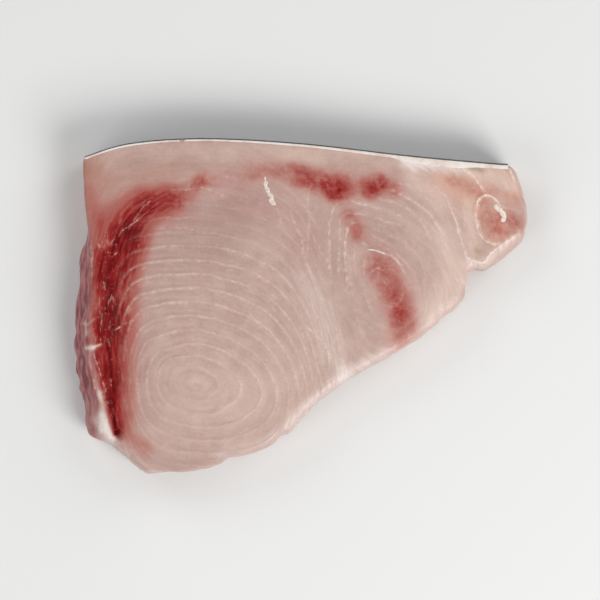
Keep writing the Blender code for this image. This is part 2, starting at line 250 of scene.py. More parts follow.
great_density = flakes_per_millimetre(GREAT_WHORL)
lesser_density = flakes_per_millimetre(LESSER_WHORL)
meeting, _ = beside(curve_through(MEETING), deep_x, deep_y)
flaky, _ = beside(curve_through(BAND), deep_x, deep_y)

# Stains along paths, each as its points, how far it fades to the left and to the right, and its
# strength. First the dark muscle, then rawer flesh with painted shade along the bottom edge, warm flesh, mauve flesh,
# and pale tissue.
DARK_STAINS = [
    ([(-55.0, 42.8), (-61.0, 40.4), (-67.0, 36.0), (-71.6, 27.0)], 8.8, 6.2, 0.6),
    ([(-63.0, 39.4), (-69.4, 33.6), (-72.8, 27.0)], 4.6, 4.6, 0.46),
    ([(-72.0, 27.0), (-75.0, 21.0), (-77.2, 14.0)], 7.2, 7.6, 0.66),
    ([(-77.0, 16.0), (-78.0, 8.0), (-78.4, 0.0), (-78.4, -8.0)], 7.8, 7.0, 0.72),
    ([(-78.4, -6.0), (-78.4, -14.0), (-78.0, -24.0), (-77.6, -32.0)], 6.0, 4.8, 0.74),
    ([(-82.8, -17.0), (-82.2, -25.0)], 2.2, 2.2, 0.46),
    ([(-86.0, 46.0), (-84.4, 38.0), (-82.8, 28.0), (-84.4, 17.0)], 5.4, 5.4, 0.27),
    ([(-57.0, 40.0), (-50.0, 42.4)], 3.8, 3.8, 0.16),
    ([(-75.6, 18.0), (-77.8, 2.0), (-77.4, -12.0), (-77.0, -26.0)], 3.0, 3.4, 0.4),
    ([(-77.2, 9.0), (-77.6, 0.0), (-76.8, -9.0)], 2.8, 3.4, 0.72),
    ([(-77.6, -30.0), (-77.0, -38.0), (-76.0, -45.0), (-75.0, -50.0)], 3.4, 2.6, 0.6),
    ([(-77.2, -32.0), (-76.6, -40.0), (-75.6, -46.0), (-74.6, -50.0)], 2.0, 2.0, 0.8),
    ([(-68.6, 28.0), (-70.4, 10.0), (-72.0, -10.0), (-72.8, -28.0), (-72.0, -42.0)], 7.0, 5.0, 0.34),
    ([(-73.4, -46.0), (-70.0, -52.0), (-63.0, -57.0)], 4.6, 5.4, 0.24),
    ([(-52.0, 44.0), (-46.0, 47.0), (-40.4, 49.8)], 3.4, 4.4, 0.18),
    ([(-40.4, 49.8), (-26.0, 51.0), (-16.0, 53.0), (-4.0, 53.4), (6.0, 50.6), (14.0, 48.0)], 6.4, 6.8, 0.16),
    ([(-20.0, 53.6), (-10.0, 53.4), (-1.0, 52.0)], 3.8, 4.2, 0.12),
    ([(-1.0, 51.0), (5.0, 49.0), (13.0, 45.6)], 4.8, 4.4, 0.34),
    ([(8.0, 48.0), (13.0, 45.2)], 3.2, 3.2, 0.36),
    ([(14.0, 47.0), (24.0, 47.4), (31.0, 47.6), (36.0, 46.0)], 6.0, 5.6, 0.28),
    ([(27.4, 46.2), (30.4, 48.2)], 3.4, 3.4, 0.54),
    ([(18.4, 35.0), (20.6, 31.0), (22.0, 28.4)], 4.6, 4.6, 0.3),
    ([(29.6, 17.0), (33.6, 10.0), (37.6, 1.0), (39.6, -8.0), (38.6, -15.0)], 10.0, 8.0, 0.18),
    ([(30.6, 14.4), (33.4, 10.6), (35.8, 4.6)], 6.8, 6.4, 0.2),
    ([(36.4, 1.6), (38.2, -2.4)], 4.6, 4.6, 0.21),
    ([(39.0, -4.6), (40.6, -9.0)], 5.0, 4.8, 0.23),
    ([(-41.8, 50.2), (-40.4, 49.8)], 1.8, 1.8, 0.16),
    ([(-80.0, 34.0), (-74.0, 41.0), (-66.0, 45.0)], 5.0, 5.0, 0.22),
]
RAW_FLESH_AND_EDGE_SHADE_STAINS = [
    ([(-52.0, 33.0), (-38.0, 33.0), (-26.0, 35.0)], 9.0, 9.0, 0.75),
    ([(-58.0, 20.0), (-44.0, 19.0), (-34.0, 22.0)], 9.0, 8.0, 0.6),
    ([(-62.0, -8.0), (-60.0, 8.0)], 8.0, 8.0, 0.35),
    ([(-64.0, -44.0), (-66.0, -20.0)], 5.0, 5.0, 0.4),
    ([(8.0, 30.0), (12.0, 12.0)], 6.0, 6.0, 0.3),
    ([(26.0, 32.0), (34.0, 26.0)], 6.0, 6.0, 0.6),
    # Painted shade along the bottom edge, where the rim curves down.
    ([(-64.0, -60.0), (-50.0, -65.0), (-34.0, -62.0)], 3.4, 3.4, 0.6),
    ([(-66.0, 57.0), (-53.0, 58.0), (-42.0, 57.0)], 4.6, 4.6, 0.5),
]
WARM_STAINS = [
    ([(-88.4, 52.0), (-87.4, 42.0), (-85.0, 30.0)], 8.5, 8.5, 1.0),
    ([(-80.0, 46.0), (-66.0, 50.0), (-54.0, 52.0)], 8.0, 6.0, 0.4),
    ([(-50.0, 56.0), (0.0, 57.0), (36.0, 53.0)], 4.0, 4.0, 0.15),
]
MAUVE_STAINS = [
    ([(-58.0, 36.0), (-48.0, 40.0)], 4.0, 6.0, 0.8),
    ([(-68.0, 16.0), (-68.0, -6.0), (-66.0, -28.0)], 4.0, 5.0, 0.5),
    ([(-28.0, 43.0), (-16.0, 42.0)], 7.0, 8.0, 0.4),
    ([(-3.0, 36.0), (3.0, 16.0)], 8.0, 8.0, 0.2),
]
# The tip is tan and browner than the rest, with brown meat in and over the fin's muscle.
TAN_STAINS = [
    ([(56.0, 50.0), (64.0, 47.0), (70.0, 42.0)], 6.0, 7.0, 0.95),
    ([(72.0, 50.0), (80.0, 50.0), (85.0, 44.0)], 5.0, 5.0, 0.7),
    ([(74.0, 36.0), (78.0, 30.0)], 7.0, 7.0, 0.9), ([(38.0, -13.4), (42.0, -14.0)], 4.4, 4.4, 1.0),
]
BROWN_STAINS = [
    ([(-87.0, -37.0), (-84.6, -44.0)], 3.0, 3.0, 0.6),
    ([(60.0, 50.0), (67.0, 47.0), (71.5, 44.2)], 2.8, 2.8, 0.58),
    ([(76.0, 45.4), (82.0, 44.2), (87.0, 41.6)], 2.6, 2.6, 0.36),
    ([(72.4, 40.0), (73.4, 34.0), (76.0, 29.0)], 3.4, 3.4, 0.5),
    ([(78.6, 34.0), (82.4, 34.4), (86.0, 31.6)], 3.6, 3.6, 0.95),
    ([(78.2, 31.0), (80.4, 28.6)], 2.8, 2.8, 1.0),
]
OLIVE_STAINS = [
    ([(69.6, 21.8), (70.6, 21.0)], 1.5, 1.5, 0.6),
    ([(67.0, 55.2), (72.0, 54.0)], 1.2, 1.4, 0.7),
]
LIGHT_STAINS = [
    ([(-30.0, -44.0), (-14.0, -36.0), (-6.0, -30.0)], 14.0, 10.0, 0.36),
    ([(-50.0, -46.0), (-42.0, -31.0), (-30.0, -28.0)], 8.0, 8.0, 0.16),
    ([(56.0, 27.0), (59.0, 20.0), (60.6, 14.0), (56.6, 4.0), (50.0, -3.0)], 6.0, 6.0, 0.8),
    ([(-60.0, 60.0), (-20.0, 61.0), (20.0, 60.0), (40.0, 56.0)], 4.0, 4.6, 0.2),
    ([(-6.0, 59.0), (4.0, 58.0)], 4.0, 4.0, 0.5),
    ([(44.0, 50.0), (48.0, 47.0), (55.0, 41.0)], 4.2, 4.2, 0.6),
    ([(66.4, 40.0), (67.4, 30.0), (69.0, 22.0)], 2.8, 2.8, 0.7),
    ([(70.0, 53.0), (78.0, 51.0), (83.0, 47.0)], 3.4, 3.4, 0.85),
]
PALE_STAINS = [
    ([(2.0, 10.0), (8.0, -6.0), (13.0, -20.0)], 6.0, 6.0, 0.3),
    ([(17.0, -28.4), (2.0, -39.6), (-6.4, -48.6)], 3.0, 2.4, 0.35),
    ([(15.8, -25.4), (17.0, -28.4)], 2.2, 2.2, 0.9),
    ([(41.0, 57.6), (46.0, 56.4), (54.0, 56.2), (66.0, 55.2)], 1.6, 2.4, 0.9),
    ([(41.6, 58.4), (44.4, 54.4)], 1.6, 1.6, 0.7),
    ([(46.0, 54.8), (62.0, 54.0)], 2.0, 2.4, 0.3),
    ([(-34.0, -60.0), (-13.2, -52.4), (-1.2, -43.6), (14.8, -29.6)], 2.2, 2.2, 0.2),
    ([(14.8, -29.6), (26.8, -22.4), (36.0, -17.4)], 2.6, 2.6, 0.5),
    ([(44.0, -11.6), (50.8, -6.4), (60.8, 2.4), (64.8, 10.4)], 2.2, 2.2, 0.25),
    ([(66.8, 17.4), (73.2, 16.4), (79.0, 21.6), (86.0, 27.0)], 1.5, 1.8, 0.5),
]
FAT_STAINS = [
    ([(-87.5, -7.4), (-86.9, -11.6)], 1.3, 1.3, 0.62),
    ([(-90.4, -7.6), (-87.6, -7.2)], 0.9, 0.9, 0.5),
    ([(-86.4, -8.0), (-83.6, -5.6)], 0.55, 0.55, 0.5),
    ([(-87.2, -11.6), (-87.6, -15.0)], 1.2, 1.2, 0.4),
    ([(-87.0, -17.2), (-84.2, -17.2)], 1.5, 1.5, 0.85),
    ([(-84.2, -17.0), (-81.0, -15.8)], 0.7, 0.7, 0.8),
    ([(-86.2, -20.0), (-84.4, -28.0), (-81.4, -37.0)], 1.3, 1.3, 0.55),
    ([(-81.6, -35.0), (-80.6, -38.6)], 0.9, 0.9, 0.5),
    ([(-78.6, 25.6), (-77.4, 24.2)], 0.8, 0.8, 0.5),
    ([(-80.2, -44.6), (-78.8, -48.4), (-76.8, -53.6)], 2.0, 2.6, 1.0),
    ([(-83.4, -46.4), (-80.4, -49.6)], 2.2, 2.2, 0.55),
    ([(-79.2, -40.0), (-79.6, -43.0), (-79.0, -46.0)], 1.2, 1.4, 0.45),
]
# The line that the tear followed, along the left of the upper cut face.
TORN_EDGE = [
    (-84.6, 34.0), (-86.4, 24.0), (-86.6, 12.0), (-85.6, 0.0), (-85.2, -14.0), (-83.2, -28.0), (-82.0, -40.0),
    (-82.4, -60.0),
]
SLIT = [(-78.2, -37.4), (-77.0, -42.4), (-76.0, -47.6), (-74.8, -53.0)]
SLIT_HALF_WIDTH = 0.95
SLIT_DEPTH = 1.6


def stain(places, x, y):
    """How strongly some stains together cover each place, from 0 to 1."""
    left = np.ones(len(x))
    for path, fades_left, fades_right, strength in places:
        off, _ = beside(curve_through(path), x, y)
        left *= 1 - strength * np.exp(-((off / np.where(off > 0, fades_right, fades_left)) ** 2))
    return 1 - left


dark = stain(DARK_STAINS, deep_x, deep_y)
raw_flesh_and_edge_shade = stain(RAW_FLESH_AND_EDGE_SHADE_STAINS, deep_x, deep_y)
warm = stain(WARM_STAINS, deep_x, deep_y)
mauve = stain(MAUVE_STAINS, deep_x, deep_y)
tan = stain(TAN_STAINS, deep_x, deep_y)
brown = stain(BROWN_STAINS, deep_x, deep_y)
olive = stain(OLIVE_STAINS, deep_x, deep_y)
light = stain(LIGHT_STAINS, deep_x, deep_y)
fat = stain(FAT_STAINS, x, y)
pale = np.maximum(stain(PALE_STAINS, deep_x, deep_y), fat)
from_slit, slit_passed = beside(curve_through(SLIT), x, y)
slit = np.exp(-((from_slit / SLIT_HALF_WIDTH) ** 2)) * smooth(0.0, 0.2, slit_passed) * smooth(1.0, 0.9, slit_passed)
streaked = smooth(-46.0, -60.0, deep_x)
# Where the cut left small white flecks of fascia. In the dark band they are drawn out into pale strands, partly fascia
# and partly painted wet highlights.
FLECK_AND_HIGHLIGHT_STAINS = [
    ([(-42.0, 54.0), (-32.0, 52.0), (-22.0, 47.0)], 4.0, 5.0, 0.9),
    ([(-40.0, 24.0), (-24.0, 20.0), (-8.0, 4.0)], 8.0, 8.0, 0.45),
    ([(0.0, 18.0), (4.0, 0.0), (14.0, -22.0)], 6.0, 6.0, 0.8),
    ([(-78.0, 24.0), (-78.0, 4.0), (-80.0, -14.0)], 4.0, 5.0, 0.8),
    ([(-62.0, 41.0), (-72.0, 31.0)], 4.0, 4.0, 0.5),
    ([(33.0, 10.0), (40.0, -6.0)], 4.0, 4.0, 0.6),
]
flecks_and_highlights = stain(FLECK_AND_HIGHLIGHT_STAINS, x, y)

# Fascia: pale sheets of tissue between the muscles, cut across, so each shows as a line. The
# first set lies in the fan and the hairpins where the whorls meet, the second in the tip.
FAN_FASCIA = [
    ([(-54.4, 46.4), (-46.2, 46.4), (-39.6, 47.0), (-36.0, 45.8), (-29.4, 42.2)], 0.6),
    ([(-10.6, 40.0), (-8.6, 32.2)], 0.5),
    ([(-5.5, 40.9), (-4.5, 35.3), (-0.4, 25.6), (0.8, 18.5), (3.2, 12.8), (6.2, 2.2)], 0.7),
    ([(1.0, 12.0), (2.2, 31.7), (2.0, 44.5), (4.2, 48.1), (7.8, 48.6)], 0.5),
    ([(3.2, 30.2), (5.7, 24.1), (9.3, 17.4), (11.6, 6.0)], 0.5),
    ([(10.4, 4.0), (10.8, 10.5), (10.4, 29.6), (11.1, 35.7), (12.2, 38.8), (14.9, 41.2), (18.3, 42.0)], 0.9),
    ([(18.3, 42.0), (21.7, 40.8), (26.4, 39.8), (28.5, 39.1), (33.2, 38.4)], 0.95),
    ([(30.0, 38.8), (38.0, 36.1), (43.4, 32.3), (46.8, 28.2), (50.9, 25.5)], 0.6),
    ([(14.0, 8.0), (14.4, 26.0), (14.9, 33.7), (16.2, 35.7), (18.3, 36.7), (23.0, 36.4), (28.5, 35.4)], 0.65),
    ([(26.0, 36.0), (33.2, 33.7), (38.7, 31.6), (42.8, 27.6), (45.0, 22.0)], 0.5),
    ([(19.6, 1.0), (17.6, 5.8), (17.3, 11.9), (16.6, 17.4), (16.8, 22.8), (17.3, 27.6), (18.6, 32.2), (21.0, 33.0), (23.7, 32.7)], 1.0),
    ([(20.4, 0.0), (18.8, 9.2), (18.6, 17.4), (18.2, 24.2)], 0.5), ([(21.0, 10.0), (20.4, 20.0), (20.8, 26.0)], 0.4),
    ([(25.8, 32.3), (31.2, 29.6), (35.3, 27.6), (39.4, 25.5)], 0.5), ([(24.4, 29.6), (29.2, 26.9), (34.6, 24.2), (38.0, 20.8)], 0.5),
    ([(24.0, 34.4), (30.0, 32.4), (36.4, 30.0), (40.6, 25.6), (42.4, 20.0)], 0.35),
    ([(43.4, 18.0), (44.8, 11.9), (45.5, 4.5)], 0.35), ([(46.8, 20.0), (48.6, 12.0), (48.4, 4.0)], 0.35),
    ([(23.4, 25.5), (25.4, 22.8)], 0.7),
    ([(25.9, 21.6), (27.8, 22.3), (31.2, 21.1), (34.6, 20.1), (38.0, 17.4), (40.0, 14.0), (40.7, 10.9)], 1.0),
    ([(26.8, 12.6), (27.8, 14.0), (29.8, 15.0), (31.9, 14.0), (33.6, 12.6)], 0.8),
    ([(25.9, 20.8), (24.7, 17.4), (24.1, 14.0), (24.4, 7.8), (26.4, -0.3), (29.8, -5.8)], 0.45),
    ([(-5.2, 7.7), (-2.2, -3.5), (0.9, -16.8), (1.4, -22.4)], 0.5),
    ([(-2.8, -3.0), (2.4, -9.6), (8.6, -15.8), (11.6, -26.4)], 1.0),
    ([(1.4, 12.8), (4.0, 10.3), (6.0, 3.1), (8.4, -6.0)], 0.6),
    ([(7.5, -5.0), (9.6, -8.6), (11.0, -14.0)], 0.8),
    ([(6.5, -10.6), (8.0, -14.7)], 0.6),
    ([(12.6, -6.0), (13.2, -9.6), (14.7, -18.8), (16.7, -25.4)], 0.9),
    ([(19.3, 3.1), (22.0, -6.0), (24.0, -14.0)], 0.45),
    ([(-24.1, 7.2), (-16.4, 3.1), (-11.4, -1.5), (-8.8, -5.0)], 0.35),
    ([(-27.7, 3.1), (-24.1, 0.6), (-20.0, -5.6), (-13.9, -11.7), (-9.8, -15.8), (-6.2, -23.4), (-2.7, -26.2)], 0.4),
    ([(-29.2, -14.2), (-23.6, -18.3), (-17.5, -22.9), (-14.9, -27.0)], 0.4),
]
TIP_FASCIA = [
    ([(42.1, 54.2), (49.4, 51.2), (51.3, 48.9), (57.7, 42.4), (61.4, 33.7)], 0.7),
    ([(31.2, 46.6), (36.6, 45.6), (41.4, 43.2), (46.8, 39.8), (50.2, 37.1), (53.0, 33.0), (55.7, 28.9), (57.7, 23.5), (60.4, 18.7)], 0.95),
    ([(27.8, 44.9), (31.2, 42.5), (36.6, 41.2), (41.4, 38.8), (46.2, 35.0), (49.6, 29.6), (51.6, 24.2)], 0.65),
    ([(54.8, 29.0), (58.0, 23.5), (60.3, 19.0)], 0.5), ([(36.0, 49.0), (42.0, 48.0), (48.0, 44.0), (52.0, 40.6)], 0.5),
    ([(64.6, 40.2), (65.0, 30.0)], 0.5), ([(66.8, 38.0), (67.0, 31.0)], 0.35),
    ([(46.0, 49.6), (52.0, 45.0), (57.0, 37.0), (59.4, 30.0)], 0.45),
    ([(66.0, 53.5), (72.4, 52.1)], 0.4), ([(73.3, 48.2), (73.7, 44.8)], 0.6),
    ([(73.3, 40.2), (72.8, 37.4)], 0.6), ([(80.0, 39.6), (84.4, 38.2), (87.0, 37.6)], 0.4),
]
# The sheath round the fin's muscle, the tissue along the notch's edge, and the seam above them.
SHEATH = [
    ([(81.8, 38.4), (79.4, 39.8), (77.1, 42.4), (73.8, 44.0), (71.6, 42.8), (70.3, 41.0), (69.5, 37.0)], 1.0),
    ([(69.9, 39.6), (69.5, 37.0), (69.8, 32.5), (71.3, 28.0), (73.3, 26.0), (75.8, 24.7), (78.3, 24.2), (80.8, 25.5)], 0.8),
    ([(58.8, 40.0), (61.3, 34.0), (62.8, 28.0), (64.8, 22.0), (66.3, 18.7)], 0.75),
    ([(64.0, 24.0), (66.3, 18.7), (69.8, 17.2), (73.5, 17.0), (74.8, 19.5), (78.8, 23.0), (83.8, 26.0), (87.6, 29.6)], 1.0),
    ([(-85.0, 27.0), (-84.8, 19.0), (-84.4, 9.0)], 0.25),
    ([(63.0, 54.6), (67.3, 52.5), (69.8, 50.5), (71.3, 47.5), (73.3, 45.2)], 0.75),
    ([(82.6, 55.4), (84.6, 51.6), (85.6, 48.0)], 0.8),
]
# The third set lies in the dark muscle at the shoulder and on the torn wall.
DARK_FASCIA = [
    ([(-60.2, 42.2), (-64.6, 38.4), (-66.6, 35.4)], 0.7), ([(-63.6, 36.0), (-66.6, 33.8), (-74.8, 27.6)], 0.95),
    ([(-71.7, 45.6), (-74.8, 40.8)], 0.6), ([(-79.8, 27.6), (-77.8, 28.0)], 0.8),
    ([(-78.4, 19.8), (-76.4, 19.0), (-73.7, 22.0)], 0.95), ([(-82.4, 25.2), (-81.4, 23.3), (-80.1, 25.2)], 0.7),
    ([(-79.8, 12.6), (-79.5, 6.0)], 1.0), ([(-66.1, 24.6), (-64.6, 21.5)], 0.6),
    ([(-76.0, -10.6), (-72.8, -8.4), (-65.6, -5.0)], 0.9), ([(-80.6, -3.6), (-80.9, -8.8)], 0.9),
    ([(-77.0, -6.2), (-77.3, -9.2)], 0.7), ([(-76.5, -21.0), (-76.3, -23.6)], 0.7),
    ([(-77.0, -29.2), (-76.8, -33.2)], 0.7), ([(-78.8, -32.8), (-79.6, -37.9)], 0.8),
    ([(-84.8, -17.2), (-80.8, -28.4), (-79.2, -35.2)], 0.8),
    ([(-85.0, 26.1), (-84.2, 21.6), (-84.8, 14.4), (-84.6, 8.0)], 0.6),
    ([(-86.0, -20.0), (-83.4, -32.8), (-80.6, -38.8)], 0.9),
    ([(-61.0, 30.7), (-49.2, 30.8), (-44.8, 30.2), (-39.6, 28.9)], 0.7),
]
FASCIA_REACH = 1.15


FASCIA_WANDER = (0.35, 3.4)
crooked = FASCIA_WANDER[0] * lumps(x, y, 0 * z, FASCIA_WANDER[1], 11.0)


def fascia_lines(lines, x, y):
    """The signed distance to the nearest line at each place, and how strongly it shows there."""
    distance = np.full(len(x), FASCIA_REACH)
    strength = np.zeros(len(x))
    for path, shows in lines:
        path = curve_through(path)
        low, high = path.min(axis=0) - FASCIA_REACH, path.max(axis=0) + FASCIA_REACH
        near = np.flatnonzero((x > low[0]) & (x < high[0]) & (y > low[1]) & (y < high[1]))
        off, passed = beside(path, x[near], y[near])
        off = off + crooked[near]
        ends = smooth(0.0, 0.2, passed) * smooth(0.0, 0.2, 1 - passed)
        nearer = np.abs(off) < np.abs(distance[near])
        distance[near[nearer]] = off[nearer]
        strength[near[nearer]] = (shows * ends * (1 - smooth(0.75, FASCIA_REACH, np.abs(off))))[nearer]
    return distance, strength


fan_distance, fan_strength = fascia_lines(FAN_FASCIA, deep_x, deep_y)
tip_distance, tip_strength = fascia_lines(TIP_FASCIA, deep_x, deep_y)
sheath_distance, sheath_strength = fascia_lines(SHEATH, np.where(x < 0, x, deep_x), np.where(x < 0, y, deep_y))

dark_distance, dark_strength = fascia_lines(DARK_FASCIA, x, y)

# How clearly the septa show: best to the upper right of the great whorl's centre, hardly where
# the fan's and the hairpins' own fascia take over, and not at all in the plain flesh.
great_shows = 0.6 + 0.34 * np.cos(np.radians(bearing - 70))
great_shows *= 0.45 + 0.55 * smooth(1.2, 2.6, great)
great_shows *= 1 - 0.7 * smooth(9.4, 11.5, great)
great_shows *= smooth(0.0, 0.6, meeting)
lesser_shows = 0.3 * smooth(0.0, 0.6, -meeting) * smooth(24.0, 34.0, deep_x)
from_fin = np.hypot((deep_x - FIN_MUSCLE[0][0]) / FIN_MUSCLE[1][0], (deep_y - FIN_MUSCLE[0][1]) / FIN_MUSCLE[1][1])
shows = smooth(1.0, 9.0, flaky)
great_shows *= shows
lesser_shows *= shows * smooth(1.2, 2.2, from_fin)

# Low relief: a rise on each septum and fascia line, the flesh's grain, and the torn wall's
# strings, which run from the upper cut face down.


def nearest_septum(number, density):
    """Distance in millimetres to the nearest septum."""
    return np.abs(number - np.round(number)) / np.maximum(density, 0.02)


def flake_rise(number):
    """1 on a septum, 0 at the foot of the next flake, whose face rises slowly to its septum."""
    part = number % 1
    return np.where(part < FLAKE_FALL, 1 - part / FLAKE_FALL, (part - FLAKE_FALL) / (1 - FLAKE_FALL))


stepped = smooth(1.0, 8.0, flaky) * smooth(1.2, 1.5, from_fin)
on_great = meeting > 0
step_was = stepped * flake_rise(np.where(on_great, great_plain, lesser_plain))
step_is = 0.6 * stepped * smooth(0.4, 2.6, great) * np.where(on_great, great_shows, lesser_shows + 0.2) * flake_rise(np.where(on_great, great, lesser))
steps = FLAKE_STEP * (step_is - 0.85 * step_was)
ridge = great_shows * (1 - smooth(0.0, 1.0, nearest_septum(great, great_density)))
ridge = np.maximum(ridge, lesser_shows * (1 - smooth(0.0, 1.0, nearest_septum(lesser, lesser_density))))
ridge = np.maximum(ridge, dark_strength * (1 - smooth(0.0, 0.9, np.abs(dark_distance))))
ridge = np.maximum(ridge, fan_strength * (1 - smooth(0.0, 0.9, np.abs(fan_distance))))
ridge = np.maximum(ridge, tip_strength * (1 - smooth(0.0, 0.9, np.abs(tip_distance))))
ridge = np.maximum(ridge, 2.0 * sheath_strength * (1 - smooth(0.2, 1.0, np.abs(sheath_distance))))
grain = lumps(x, y, z, 1.7, 3.0) + 0.6 * lumps(x, y, z, 0.9, 5.0)
lift = faces_up * (steps + SEPTUM_RISE * ridge + GRAIN_RISE * (1 + 3.0 * dark) * grain)
lift += 0.7 * faces_up * stain([([(-76.8, -42.0), (-78.8, -48.0), (-77.4, -53.0)], 1.8, 2.0, 1.0)], x, y)
from_edge, _ = beside(curve_through(TORN_EDGE), x, y)
torn = np.maximum(smooth(-1.8, 1.4, from_edge), smooth(-78.0, -83.5, x) * (1 - faces_up))
torn *= (1 - smooth(26.0, 33.0, y)) * smooth(-58.0, -50.0, y) * (1 - 0.35 * smooth(-34.0, -44.0, y))
strings = lumps(x, y * 0.35, z * 0.8, 3.1, 6.0) + 0.6 * lumps(x, y * 0.3, z, 1.5, 8.0)
dark = np.maximum(dark, torn * (0.46 + 0.4 * strings)) * (1 - fat)
dark = np.maximum(dark, slit * 1.1)
mauve = np.maximum(mauve, 0.9 * torn * (1 - fat))
along_skin, _ = beside(curve_through(SKIN), x, y)
skinned = (1 - smooth(0.0, 2.6, np.abs(along_skin))) * (1 - faces_up)
out = 0.6 * torn * strings + 0.10 * (1 - faces_up) * grain * (z > 0.6)
out -= 0.5 * skinned
lift -= SLIT_DEPTH * slit
x = x + out * normals[0]
y = y + out * normals[1]
z = z + lift
z = np.where(z < 0.35, 0.0, z)
write_places(flesh.data, x, y, z)

for name, values in {
    "great": great, "great_density": great_density, "great_shows": great_shows,
    "lesser": lesser, "lesser_density": lesser_density, "lesser_shows": lesser_shows,
    "fan_distance": fan_distance, "fan_strength": fan_strength,
    "tip_distance": tip_distance, "tip_strength": tip_strength,
    "sheath_distance": sheath_distance, "sheath_strength": sheath_strength,
    "tan": tan, "brown": brown, "olive": olive, "torn": torn * (1 - fat),
    "dark_distance": dark_distance, "dark_strength": dark_strength, "meeting": meeting, "flaky": flaky, "streaked": streaked,
    "dark": dark, "raw_flesh_and_edge_shade": raw_flesh_and_edge_shade, "warm": warm, "light": light, "pale": pale, "mauve": mauve, "flecks_and_highlights": flecks_and_highlights,
}.items():
    store(flesh.data, name, values)
for polygon in flesh.data.polygons:
    polygon.use_smooth = True

FLESH = (197, 168, 157)
RAW_FLESH = (176, 145, 136)
WARM_FLESH = (174, 122, 104)
MAUVE_FLESH = (170, 122, 122)
LIGHT_FLESH = (217, 192, 178)
TAN_FLESH = (214, 171, 153)
BROWN_MEAT = (174, 102, 88)
OLIVE_TISSUE = (160, 138, 112)
TORN_MEAT = (106, 42, 52)
TORN_MEAT_LIGHT = (178, 116, 118)
TORN_STRANDS = (1.0, 0.22, 0.8)
SHEATH_WHITE = (230, 211, 197)
PALE_FLESH = (228, 214, 208)
SEPTUM = (228, 204, 190)
DARK_STOPS = [
    (0.0, (196, 160, 150)), (0.3, (176, 112, 102)), (0.55, (158, 62, 56)), (0.78, (138, 26, 26)), (1.0, (102, 2, 4)),
]


def daylight(red, green, blue):
    """A colour's linear values, as shaders take them, from its daylight values."""
    shares = [value / 255 for value in (red, green, blue)]
    return (*[s / 12.92 if s <= 0.04045 else ((s + 0.055) / 1.055) ** 2.4 for s in shares], 1.0)


def add_node(tree, kind, inputs=(), **settings):
    """Adds a node, sets its fields, and fills or joins its inputs, given as pairs."""
    made = tree.nodes.new(kind)
    for name, value in settings.items():
        setattr(made, name, value)
    for name, value in dict(inputs).items():
        if isinstance(value, bpy.types.NodeSocket):
            tree.links.new(value, made.inputs[name])
        else:
            made.inputs[name].default_value = value
    return made


def maths(tree, operation, first, second=0.0):
    """The outcome of a sum on two values."""
    return add_node(tree, "ShaderNodeMath", {0: first, 1: second}, operation=operation).outputs[0]


def share(tree, value, low, high, to_low=0.0, to_high=1.0):
    """A value brought smoothly from one range to another."""
    inputs = {"Value": value, "From Min": low, "From Max": high, "To Min": to_low, "To Max": to_high}
    return add_node(tree, "ShaderNodeMapRange", inputs, interpolation_type="SMOOTHSTEP").outputs["Result"]


def blend(tree, factor, first, second):
    """A mix of two colours."""
    made = add_node(tree, "ShaderNodeMix", data_type="RGBA")
    for index, value in ((0, factor), (6, first), (7, second)):
        if isinstance(value, bpy.types.NodeSocket):
            tree.links.new(value, made.inputs[index])
        else:
            made.inputs[index].default_value = value
    return made.outputs[2]


def kept(tree, name):
    """A value that the mesh keeps for each point."""
    return add_node(tree, "ShaderNodeAttribute", attribute_name=name).outputs["Fac"]


def speckle(tree, size, detail=2.0, where=None):
    """Noise from 0 to 1 with lumps of this size in millimetres."""
    if where is None:
        where = add_node(tree, "ShaderNodeTexCoord").outputs["Object"]
    inputs = {"Vector": where, "Scale": 1 / (size * MM), "Detail": detail, "Roughness": 0.55}
    return add_node(tree, "ShaderNodeTexNoise", inputs).outputs["Fac"]


def new_material(name):
    """A material with an empty Principled BSDF, as its tree and shader."""
    material = bpy.data.materials.new(name)
    material.use_nodes = True
    tree = material.node_tree
    return material, tree, tree.nodes["Principled BSDF"]


def fish_grain():
    """A node group for anything fleshy: a fine grain, soft blotches, and moist patches."""
    group = bpy.data.node_groups.new("fish grain", "ShaderNodeTree")
    for name in ("Grain", "Blotches", "Moist"):
        group.interface.new_socket(name, in_out="OUTPUT", socket_type="NodeSocketFloat")
    end = group.nodes.new("NodeGroupOutput")
    group.links.new(speckle(group, 0.9, 3.0), end.inputs["Grain"])
    group.links.new(speckle(group, 5.5, 3.0), end.inputs["Blotches"])
    group.links.new(speckle(group, 9.0, 1.0), end.inputs["Moist"])
    return group


FISH_GRAIN = fish_grain()
flesh_material, tree, shader = new_material("raw swordfish")
texture = add_node(tree, "ShaderNodeGroup", node_tree=FISH_GRAIN)
grain_value, blotches, moist = (texture.outputs[name] for name in ("Grain", "Blotches", "Moist"))


def septum_line(tree, number, density, shows):
    """The pale line on each septum, from 0 to 1."""
    off = maths(tree, "ABSOLUTE", maths(tree, "SUBTRACT", number, maths(tree, "ROUND", number)))
    off = maths(tree, "DIVIDE", off, maths(tree, "MAXIMUM", density, 0.02))
    return maths(tree, "MULTIPLY", share(tree, off, 0.05, 0.95, 1.0, 0.0), shows)


def fascia_line(tree, name, half_width=0.62):
    """The pale line of one set of fascia, from 0 to 1."""
    off = maths(tree, "ABSOLUTE", kept(tree, name + "_distance"))
    off = maths(tree, "ADD", off, share(tree, speckle(tree, 2.0, 3.0), 0.3, 0.7, -0.3, 0.36))
    return maths(tree, "MULTIPLY", share(tree, off, 0.0, half_width, 1.0, 0.0), kept(tree, name + "_strength"))


